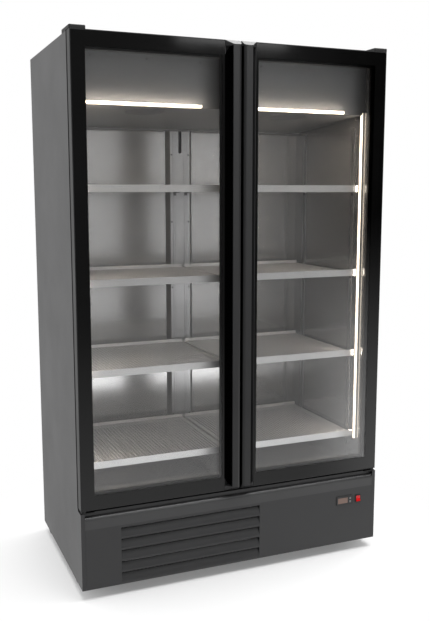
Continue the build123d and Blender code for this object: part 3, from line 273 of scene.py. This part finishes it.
# Cabin: a folded stainless liner with an upright brushed grain, and the cover under the
# evaporator from the same sheet.
liner_steel = finish("liner_steel", (0.34, 0.34, 0.34), (0.38, 0.38, 0.38), (0.17, 0.22), metallic=0.74,
                     bump=0.04, scale=900.0, stretch=(1.0, 1.0, 0.02), cloud=1.6)
dress(liner_steel, "inner_liner")
cover_steel = finish("cover_steel", (0.13, 0.13, 0.133), (0.165, 0.165, 0.168), (0.36, 0.46), metallic=0.4,
                     bump=0.10, scale=900.0, stretch=(0.02, 1.0, 1.0), cloud=1.6)
dress(cover_steel, "evaporator_cover")

# Lamps: aluminium channels with milky covers over warm white diodes, one level bar for each
# door and one upright bar on each side wall.
channel = finish("lamp_channel", (0.78, 0.77, 0.75), (0.84, 0.83, 0.81), (0.40, 0.50), metallic=0.2,
                 scale=900.0, stretch=(0.02, 1.0, 0.02))
dress(channel, "led_channels")
diffuser = blank_material("lamp_diffuser")
tree = diffuser.node_tree
place = add(tree, "ShaderNodeTexCoord")
dots = add(tree, "ShaderNodeTexNoise", {"Vector": place.outputs["Object"], "Scale": 60.0, "Detail": 1.0})
tint = add(tree, "ShaderNodeMix", {
    "Factor": dots.outputs["Fac"], 6: (1.0, 0.83, 0.66, 1.0), 7: (1.0, 0.88, 0.74, 1.0)}, data_type="RGBA")
shader = add(tree, "ShaderNodeBsdfPrincipled", {
    "Base Color": tint.outputs[2], "Roughness": 0.5, "Emission Color": tint.outputs[2],
    "Emission Strength": 3.5})
add(tree, "ShaderNodeOutputMaterial", {"Surface": shader.outputs["BSDF"]})
dress(diffuser, "led_diffusers")
WARM = (1.0, 0.88, 0.74)
BAR_HEIGHT = 0.012
BAR_LENGTH = 0.43
BAR_MIDDLES = {"left_bar": -0.335, "right_bar": 0.252}
STRIP = 0.008             # width of the strip lamps that throw the bars' light
GLOW_GAP = 0.030          # evaporator cover to the strip that shines back on it
FALL_GAP = 0.008          # and to the strip that shines down
UPRIGHT_GAP = 0.018       # upright diffuser's face to its strip
UPRIGHT_MIDDLE = (-0.236, 1.10)
UPRIGHT_LENGTH = 1.25
FAR = 9.0
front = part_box("evaporator_cover")[0][1]
bar_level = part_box("led_channels")[1][2] - BAR_HEIGHT / 2
for name, x in BAR_MIDDLES.items():
    glow = softbox(f"{name}_glow", (x, front - GLOW_GAP, bar_level), (x, FAR, bar_level),
                   (BAR_LENGTH, STRIP), 0.7, WARM)
    fall = softbox(f"{name}_fall", (x, front - FALL_GAP, bar_level - BAR_HEIGHT), (x, front, 0.0),
                   (BAR_LENGTH, STRIP), 2.2, WARM)
    glow.visible_glossy = fall.visible_glossy = False
y, z = UPRIGHT_MIDDLE
for name, side in (("left_upright", -1), ("right_upright", 1)):
    wall = side * (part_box("led_diffusers")[1][0] - UPRIGHT_GAP)
    fall = softbox(f"{name}_fall", (wall, y, z), (0.0, -0.05, z), (STRIP, UPRIGHT_LENGTH), 3.2, WARM)
    fall.visible_glossy = False

# Racking: slotted steel uprights and a pressed centre post fixed to the liner, with small hooks
# that push into the slots. All of it is zinc plated.
standard_steel = finish("standard_steel", (0.32, 0.32, 0.325), (0.38, 0.38, 0.385), (0.28, 0.36),
                        metallic=0.85, scale=900.0, stretch=(1.0, 1.0, 0.03))
dress(standard_steel, "shelf_standards")
clip_steel = finish("clip_steel", (0.10, 0.10, 0.10), (0.15, 0.15, 0.15), (0.4, 0.5), metallic=0.8)
dress(clip_steel, "shelf_clips", "cabinet_screws")

# Shelves: perforated steel pressed into a shallow inverted tray, front edge folded up against
# spills, powder coated silver grey. Each lies loose on four hooks.

WELD = 0.00002            # corners nearer than this are joined


def build_perforated():
    """Field of square cells with an eight-sided hole each, given a thickness."""
    tree, given, end = new_group("perforated_shelf", "GeometryNodeTree", [
        ("Across", "NodeSocketInt", 30), ("Back", "NodeSocketInt", 30),
        ("Pitch Across", "NodeSocketFloat", 0.014), ("Pitch Back", "NodeSocketFloat", 0.014),
        ("Hole", "NodeSocketFloat", 0.0045), ("Sheet", "NodeSocketFloat", 0.0012),
        ("Centre", "NodeSocketVector", (0.0, 0.0, 0.0)), ("Finish", "NodeSocketMaterial", None)],
        [("Geometry", "NodeSocketGeometry")])
    # one flat cell
    rim = add(tree, "GeometryNodeMeshCircle", {"Vertices": 8, "Radius": given["Hole"]}, fill_type="NONE")
    spread = add(tree, "GeometryNodeExtrudeMesh", {"Mesh": rim.outputs["Mesh"], "Offset Scale": 0.0},
                 mode="EDGES")
    here = add(tree, "GeometryNodeInputPosition")
    axes = add(tree, "ShaderNodeSeparateXYZ", {0: here.outputs[0]})
    east = add(tree, "ShaderNodeMath", {0: axes.outputs["X"]}, operation="ABSOLUTE")
    north = add(tree, "ShaderNodeMath", {0: axes.outputs["Y"]}, operation="ABSOLUTE")
    longest = add(tree, "ShaderNodeMath", {0: east.outputs[0], 1: north.outputs[0]}, operation="MAXIMUM")
    grow = add(tree, "ShaderNodeMath", {0: 0.5, 1: longest.outputs[0]}, operation="DIVIDE")
    square = add(tree, "ShaderNodeVectorMath", {0: here.outputs[0], "Scale": grow.outputs[0]},
                 operation="SCALE")
    size = add(tree, "ShaderNodeCombineXYZ", {
        "X": given["Pitch Across"], "Y": given["Pitch Back"], "Z": 1.0})
    sized = add(tree, "ShaderNodeVectorMath", {0: square.outputs["Vector"], 1: size.outputs[0]},
                operation="MULTIPLY")
    cell = add(tree, "GeometryNodeSetPosition", {
        "Geometry": spread.outputs["Mesh"], "Selection": spread.outputs["Top"],
        "Position": sized.outputs["Vector"]})
    # the cells side by side
    spans = []
    for count, pitch in (("Across", "Pitch Across"), ("Back", "Pitch Back")):
        fewer = add(tree, "ShaderNodeMath", {0: given[count], 1: 1.0}, operation="SUBTRACT")
        spans.append(add(tree, "ShaderNodeMath", {0: fewer.outputs[0], 1: given[pitch]},
                         operation="MULTIPLY"))
    grid = add(tree, "GeometryNodeMeshGrid", {
        "Size X": spans[0].outputs[0], "Size Y": spans[1].outputs[0],
        "Vertices X": given["Across"], "Vertices Y": given["Back"]})
    cells = add(tree, "GeometryNodeInstanceOnPoints", {
        "Points": grid.outputs["Mesh"], "Instance": cell.outputs["Geometry"]})
    flat = add(tree, "GeometryNodeRealizeInstances", {"Geometry": cells.outputs["Instances"]})
    joined = add(tree, "GeometryNodeMergeByDistance", {
        "Geometry": flat.outputs["Geometry"], "Distance": WELD})
    # thickness: the lower face is the same sheet turned over
    lower = add(tree, "GeometryNodeFlipFaces", {"Mesh": joined.outputs["Geometry"]})
    raised = add(tree, "GeometryNodeExtrudeMesh", {
        "Mesh": joined.outputs["Geometry"], "Offset Scale": given["Sheet"], "Individual": False},
                 mode="FACES")
    closed = add(tree, "GeometryNodeJoinGeometry")
    tree.links.new(lower.outputs["Mesh"], closed.inputs[0])
    tree.links.new(raised.outputs["Mesh"], closed.inputs[0])
    sealed = add(tree, "GeometryNodeMergeByDistance", {"Geometry": closed.outputs[0], "Distance": WELD})
    placed = add(tree, "GeometryNodeTransform", {
        "Geometry": sealed.outputs["Geometry"], "Translation": given["Centre"]})
    real = add(tree, "GeometryNodeRealizeInstances", {"Geometry": placed.outputs["Geometry"]})
    coated = add(tree, "GeometryNodeSetMaterial", {
        "Geometry": real.outputs["Geometry"], "Material": given["Finish"]})
    link_out(tree, end, {"Geometry": coated.outputs["Geometry"]})
    return tree


def grow_mesh(name, tree, inputs):
    """Run a geometry tree on an empty piece and keep the result as a plain mesh."""
    seed = bpy.data.objects.new(name, bpy.data.meshes.new(name))
    bpy.context.collection.objects.link(seed)
    maker = seed.modifiers.new("maker", "NODES")
    maker.node_group = tree
    for item in tree.interface.items_tree:
        if item.item_type == "SOCKET" and item.in_out == "INPUT" and item.name in inputs:
            maker[item.identifier] = inputs[item.name]
    bpy.context.view_layer.update()
    shape = bpy.data.meshes.new_from_object(seed.evaluated_get(bpy.context.evaluated_depsgraph_get()))
    seed.modifiers.clear()
    seed.data = shape
    shape.name = name
    return seed


def box_faces(low, high, start):
    """Corners and outward faces of a straight-sided box."""
    (a, b, c), (d, e, f) = low, high
    corners = [(a, b, c), (d, b, c), (d, e, c), (a, e, c), (a, b, f), (d, b, f), (d, e, f), (a, e, f)]
    faces = [(0, 3, 2, 1), (4, 5, 6, 7), (0, 1, 5, 4), (1, 2, 6, 5), (2, 3, 7, 6), (3, 0, 4, 7)]
    return corners, [tuple(start + corner for corner in face) for face in faces]


def join_boxes(name, boxes, material):
    corners, faces = [], []
    for low, high in boxes:
        more, sides = box_faces(low, high, len(corners))
        corners += more
        faces += sides
    mesh = bpy.data.meshes.new(name)
    mesh.from_pydata(corners, [], faces)
    mesh.materials.append(material)
    piece = bpy.data.objects.new(name, mesh)
    bpy.context.collection.objects.link(piece)
    return piece


def merge_pieces(main, *others):
    """Join meshes that share one body and one finish."""
    bpy.ops.object.select_all(action="DESELECT")
    for piece in (main, *others):
        piece.select_set(True)
    bpy.context.view_layer.objects.active = main
    bpy.ops.object.join()
    return main


SHELF_SHEET = 0.0012
SHELF_SKIRT = 0.013
SHELF_MARGIN = 0.014      # plain edge round the holes
HOLE_PITCH = 0.0135
HOLE_RADIUS = 0.0046
shelf_coat = finish("shelf_coat", (0.44, 0.44, 0.44), (0.52, 0.52, 0.52), (0.34, 0.44), metallic=0.3,
                    bump=0.10, scale=700.0)
perforated = build_perforated()
for side in ("left", "right"):
    for level in range(1, 5):
        node = f"{side}_shelf_{level}"
        low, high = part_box(node)
        top = low[2] + SHELF_SKIRT
        room = [high[axis] - low[axis] - 2 * SHELF_MARGIN for axis in (0, 1)]
        counts = [round(length / HOLE_PITCH) for length in room]
        pitches = [length / count for length, count in zip(room, counts)]
        field = grow_mesh(f"{node}_sheet", perforated, {
            "Across": counts[0], "Back": counts[1], "Pitch Across": pitches[0], "Pitch Back": pitches[1],
            "Hole": HOLE_RADIUS, "Sheet": SHELF_SHEET, "Finish": shelf_coat,
            "Centre": ((low[0] + high[0]) / 2, (low[1] + high[1]) / 2, top - SHELF_SHEET)})
        x0, x1, y0, y1, foot = low[0], high[0], low[1], high[1], low[2]
        m, t = SHELF_MARGIN, SHELF_SHEET
        plain = [((x0, y0, top - t), (x1, y0 + m, top)),
                 ((x0, y1 - m, top - t), (x1, y1, top)),
                 ((x0, y0 + m, top - t), (x0 + m, y1 - m, top)),
                 ((x1 - m, y0 + m, top - t), (x1, y1 - m, top))]
        skirt = [((x0, y0, foot), (x1, y0 + t, top - t)),
                 ((x0, y1 - t, foot), (x1, y1, top - t)),
                 ((x0, y0 + t, foot), (x0 + t, y1 - t, top - t)),
                 ((x1 - t, y0 + t, foot), (x1, y1 - t, top - t))]
        lips = [((x0, y0, top), (x1, y0 + 2 * t, high[2])),
                ((x0, y1 - t, top), (x1, y1, high[2]))]
        edge = join_boxes(f"{node}_edge", plain + skirt + lips, shelf_coat)
        piece = merge_pieces(field, edge)
        piece.name = f"{side}_perforated_shelf_{level}"
        for lamp in (cabin_lamp, low_lamp):
            lamp.light_linking.receiver_collection.objects.link(piece)
        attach(piece, node)
        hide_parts(node)

# Doors: an aluminium frame carries two panes. The outer pane reaches over the frame and has a
# glossy black border fired on its back; the inner one sits on a spacer. Rubber bellows seal it.

ANY_DEPTH = 9.0           # the mask looks along the depth, and takes no account of it


def build_window():
    """One inside an upright rectangle, zero outside it, with a hair-thin soft edge."""
    tree, given, end = new_group("window_mask", "ShaderNodeTree", [
        ("Vector", "NodeSocketVector", None), ("Centre", "NodeSocketVector", (0, 0, 0)),
        ("Half", "NodeSocketVector", (0.1, 1.0, 0.1))], [("Mask", "NodeSocketFloat")])
    off = add(tree, "ShaderNodeVectorMath", {0: given["Vector"], 1: given["Centre"]}, operation="SUBTRACT")
    away = add(tree, "ShaderNodeVectorMath", {0: off.outputs["Vector"]}, operation="ABSOLUTE")
    past = add(tree, "ShaderNodeVectorMath", {0: given["Half"], 1: away.outputs["Vector"]},
               operation="SUBTRACT")
    axes = add(tree, "ShaderNodeSeparateXYZ", {0: past.outputs["Vector"]})
    least = add(tree, "ShaderNodeMath", {0: axes.outputs["X"], 1: axes.outputs["Z"]}, operation="MINIMUM")
    sharp = add(tree, "ShaderNodeMapRange", {"Value": least.outputs[0], "From Min": 0.0, "From Max": 0.0004})
    link_out(tree, end, {"Mask": sharp.outputs["Result"]})
    return tree


window = build_window()


def clear_glass(tree, place, tint, haze):
    """Shaders for a clean pane: straight-through light under a mirror that grows at the edge of view."""
    through = add(tree, "ShaderNodeBsdfTransparent", {"Color": (*tint, 1.0)})
    smear = add(tree, "ShaderNodeTexNoise", {
        "Vector": place.outputs["Object"], "Scale": 7.0, "Detail": 4.0, "Roughness": 0.6})
    polish = add(tree, "ShaderNodeMapRange", {
        "Value": smear.outputs["Fac"], "From Min": 0.4, "From Max": 0.7, "To Min": 0.01, "To Max": haze})
    mirror = add(tree, "ShaderNodeBsdfAnisotropic", {
        "Color": (1.0, 1.0, 1.0, 1.0), "Roughness": polish.outputs["Result"]})
    bend = add(tree, "ShaderNodeFresnel", {"IOR": 1.5})
    return add(tree, "ShaderNodeMixShader", {0: bend.outputs[0], 1: through.outputs[0], 2: mirror.outputs[0]})


BORDER_HINGE = 0.0500     # door's outer edge to clear glass
BORDER_MEET = 0.0660      # meeting edge to clear glass
BORDER_LEVEL = 0.0525     # top and bottom
for side, sign in (("left", -1), ("right", 1)):
    low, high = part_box(f"{side}_door_frame")
    outer, inner = (low[0], high[0]) if sign < 0 else (high[0], low[0])
    edges = sorted((outer - sign * BORDER_HINGE, inner + sign * BORDER_MEET))
    levels = (low[2] + BORDER_LEVEL, high[2] - BORDER_LEVEL)
    printed = blank_material(f"{side}_printed_glass")
    tree = printed.node_tree
    place = add(tree, "ShaderNodeTexCoord")
    mask = add(tree, "ShaderNodeGroup", node_tree=window)
    tree.links.new(place.outputs["Object"], mask.inputs["Vector"])
    mask.inputs["Centre"].default_value = (sum(edges) / 2, 0.0, sum(levels) / 2)
    mask.inputs["Half"].default_value = ((edges[1] - edges[0]) / 2, ANY_DEPTH,
                                           (levels[1] - levels[0]) / 2)
    skin = add(tree, "ShaderNodeGroup", node_tree=grain)
    tree.links.new(place.outputs["Object"], skin.inputs["Vector"])
    for label, value in (("Dark", (0.0018, 0.0018, 0.0018, 1)), ("Light", (0.0032, 0.0032, 0.0032, 1)),
                         ("Smooth", 0.05), ("Rough", 0.09), ("Grain", 90.0), ("Cloud", 5.0)):
        skin.inputs[label].default_value = value
    ink = add(tree, "ShaderNodeBsdfPrincipled", {
        "Base Color": skin.outputs["Colour"], "Roughness": skin.outputs["Roughness"]})
    clean = clear_glass(tree, place, (0.955, 0.955, 0.955), 0.03)
    whole = add(tree, "ShaderNodeMixShader", {
        0: mask.outputs["Mask"], 1: ink.outputs["BSDF"], 2: clean.outputs[0]})
    add(tree, "ShaderNodeOutputMaterial", {"Surface": whole.outputs[0]})
    dress(printed, f"{side}_outer_pane")

SPACER = 0.0100           # black warm-edge spacer round the inner pane
for side in ("left", "right"):
    low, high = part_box(f"{side}_inner_pane")
    spaced = blank_material(f"{side}_inner_glass")
    tree = spaced.node_tree
    place = add(tree, "ShaderNodeTexCoord")
    mask = add(tree, "ShaderNodeGroup", node_tree=window)
    tree.links.new(place.outputs["Object"], mask.inputs["Vector"])
    mask.inputs["Centre"].default_value = [(low[axis] + high[axis]) / 2 for axis in range(3)]
    mask.inputs["Half"].default_value = ((high[0] - low[0]) / 2 - SPACER, ANY_DEPTH,
                                           (high[2] - low[2]) / 2 - SPACER)
    seal = add(tree, "ShaderNodeBsdfDiffuse", {"Color": (0.004, 0.004, 0.004, 1.0)})
    clean = clear_glass(tree, place, (0.95, 0.95, 0.95), 0.04)
    whole = add(tree, "ShaderNodeMixShader", {
        0: mask.outputs["Mask"], 1: seal.outputs[0], 2: clean.outputs[0]})
    add(tree, "ShaderNodeOutputMaterial", {"Surface": whole.outputs[0]})
    dress(spaced, f"{side}_inner_pane")

frame_black = finish("black_anodised", (0.008, 0.008, 0.0085), (0.012, 0.012, 0.0125), (0.42, 0.50),
                     scale=900.0, stretch=(1.0, 1.0, 0.02))
dress(frame_black, "left_door_frame", "right_door_frame")
handle_black = finish("satin_black_pull", (0.012, 0.012, 0.0125), (0.017, 0.017, 0.0175), (0.30, 0.38),
                      scale=900.0, stretch=(1.0, 1.0, 0.02))
# the finger pockets are painted matt black as painted shade of the deep cavity behind each pull, short of the
# pulls' solid ends and of the sloping wall
POCKET_SHADE_FRONT = 0.0165     # door's face to the front of the painted pocket shade
POCKET_SHADE_STOP = 0.0480      # middle of the cabinet to where the right pull's painted shade stops
POCKET_EDGES = (0.037, 0.060)     # middle of the cabinet to the pocket's two edges
CLOSED_ENDS = (0.018, 0.048)      # length of the closed ends at those edges
POCKET_SHADE_BACK = 0.0003      # painted shade to the closed ends
tree = handle_black.node_tree
metal = tree.nodes["Principled BSDF"]
# near-black diffuse in the pocket: painted shade standing in for the dark cavity behind the pull
matt = add(tree, "ShaderNodeBsdfDiffuse", {"Color": (0.0012, 0.0012, 0.0012, 1.0)})
spot = add(tree, "ShaderNodeSeparateXYZ", {0: tree.nodes["Texture Coordinate"].outputs["Object"]})
pocket_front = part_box("left_door_frame")[0][1] - POCKET_SHADE_FRONT
deep = add(tree, "ShaderNodeMapRange", {
    "Value": spot.outputs["Y"], "From Min": pocket_front, "From Max": pocket_front + 0.0005})
near = add(tree, "ShaderNodeMapRange", {
    "Value": spot.outputs["X"], "From Min": POCKET_SHADE_STOP, "From Max": POCKET_SHADE_STOP + 0.0004,
    "To Min": 1.0, "To Max": 0.0})
foot, crown = (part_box("left_handle")[end][2] for end in (0, 1))
across = add(tree, "ShaderNodeMath", {0: spot.outputs["X"]}, operation="ABSOLUTE")
closed = add(tree, "ShaderNodeMapRange", {
    "Value": across.outputs[0], "From Min": POCKET_EDGES[0], "From Max": POCKET_EDGES[1],
    "To Min": CLOSED_ENDS[0], "To Max": CLOSED_ENDS[1]})
level = add(tree, "ShaderNodeMath", {0: spot.outputs["Z"], 1: (foot + crown) / 2},
            operation="SUBTRACT")
away = add(tree, "ShaderNodeMath", {0: level.outputs[0]}, operation="ABSOLUTE")
reach = add(tree, "ShaderNodeMath", {
    0: (crown - foot) / 2 - POCKET_SHADE_BACK, 1: closed.outputs["Result"]}, operation="SUBTRACT")
along = add(tree, "ShaderNodeMath", {0: away.outputs[0], 1: reach.outputs[0]}, operation="LESS_THAN")
inside = add(tree, "ShaderNodeMath", {0: deep.outputs["Result"], 1: near.outputs["Result"]},
             operation="MULTIPLY")
pocket_shade = add(tree, "ShaderNodeMath", {0: inside.outputs[0], 1: along.outputs[0]}, operation="MULTIPLY")
pocket_shaded = add(tree, "ShaderNodeMixShader", {0: pocket_shade.outputs[0], 1: metal.outputs[0], 2: matt.outputs[0]})
tree.links.new(pocket_shaded.outputs[0], tree.nodes["Material Output"].inputs["Surface"])
dress(handle_black, "left_handle", "right_handle")
rubber = finish("gasket_rubber", (0.012, 0.012, 0.012), (0.020, 0.020, 0.020), (0.6, 0.75), scale=500.0)
dress(rubber, "left_gasket", "right_gasket")
hinge_steel = finish("hinge_steel", (0.40, 0.40, 0.41), (0.50, 0.50, 0.51), (0.3, 0.42), metallic=1.0)
dress(hinge_steel, "top_hinges")

# Controls: a panel thermostat with a tinted window whose brown colour is the painted glow of the lit display,
# and two soft keys, and a red rocker that switches the lamps, both snapped into the cover.
LENS_SHIFT = 0.009        # middle of the housing to the middle of its display, to the left
LENS_HALF = (0.0225, ANY_DEPTH, 0.0115)
controller_plastic = finish("controller_plastic", (0.02, 0.02, 0.02), (0.03, 0.03, 0.03), (0.4, 0.5),
                            scale=900.0)
low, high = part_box("controller")
tree = controller_plastic.node_tree
shell = tree.nodes["Principled BSDF"]
mask = add(tree, "ShaderNodeGroup", node_tree=window)
tree.links.new(tree.nodes["Texture Coordinate"].outputs["Object"], mask.inputs["Vector"])
mask.inputs["Centre"].default_value = ((low[0] + high[0]) / 2 - LENS_SHIFT, 0.0, (low[2] + high[2]) / 2)
mask.inputs["Half"].default_value = LENS_HALF
# the lens colour is lighter than the tinted window itself: painted glow of the lit display behind it
lens = add(tree, "ShaderNodeBsdfPrincipled", {"Base Color": (0.20, 0.13, 0.105, 1.0), "Roughness": 0.12})
faced = add(tree, "ShaderNodeMixShader", {0: mask.outputs["Mask"], 1: shell.outputs[0], 2: lens.outputs[0]})
tree.links.new(faced.outputs[0], tree.nodes["Material Output"].inputs["Surface"])
dress(controller_plastic, "controller")
key_rubber = finish("key_rubber", (0.16, 0.16, 0.16), (0.20, 0.20, 0.20), (0.5, 0.6), scale=900.0)
dress(key_rubber, "up_key", "down_key")
red_plastic = finish("red_plastic", (0.55, 0.004, 0.006), (0.70, 0.010, 0.012), (0.18, 0.26), scale=900.0)
dress(red_plastic, "power_rocker")

# Running gear and machines: nylon rollers on zinc axles and screw feet carry the base tray, which
# holds the compressor, coils, fans and copper pipes of the sealed system.
zinc = finish("zinc_plate", (0.30, 0.30, 0.29), (0.40, 0.40, 0.38), (0.35, 0.5), metallic=0.9)
dress(zinc, "roller_brackets")
nylon = finish("roller_nylon", (0.014, 0.014, 0.014), (0.022, 0.022, 0.022), (0.45, 0.6))
dress(nylon, "front_left_roller", "front_right_roller", "rear_left_roller", "rear_right_roller",
      "levelling_feet")
enamel = finish("compressor_enamel", (0.010, 0.010, 0.011), (0.018, 0.018, 0.019), (0.25, 0.35))
dress(enamel, "compressor")
fins = finish("aluminium_fins", (0.55, 0.55, 0.56), (0.66, 0.66, 0.67), (0.3, 0.45), metallic=1.0)
dress(fins, "condenser_coil", "evaporator_coil")
motor = finish("motor_metal", (0.32, 0.32, 0.33), (0.42, 0.42, 0.43), (0.35, 0.5), metallic=0.9)
dress(motor, "fan_motors")
copper = finish("copper_tube", (0.62, 0.28, 0.16), (0.78, 0.40, 0.25), (0.25, 0.4), metallic=1.0, cloud=12.0)
dress(copper, "refrigerant_pipes")
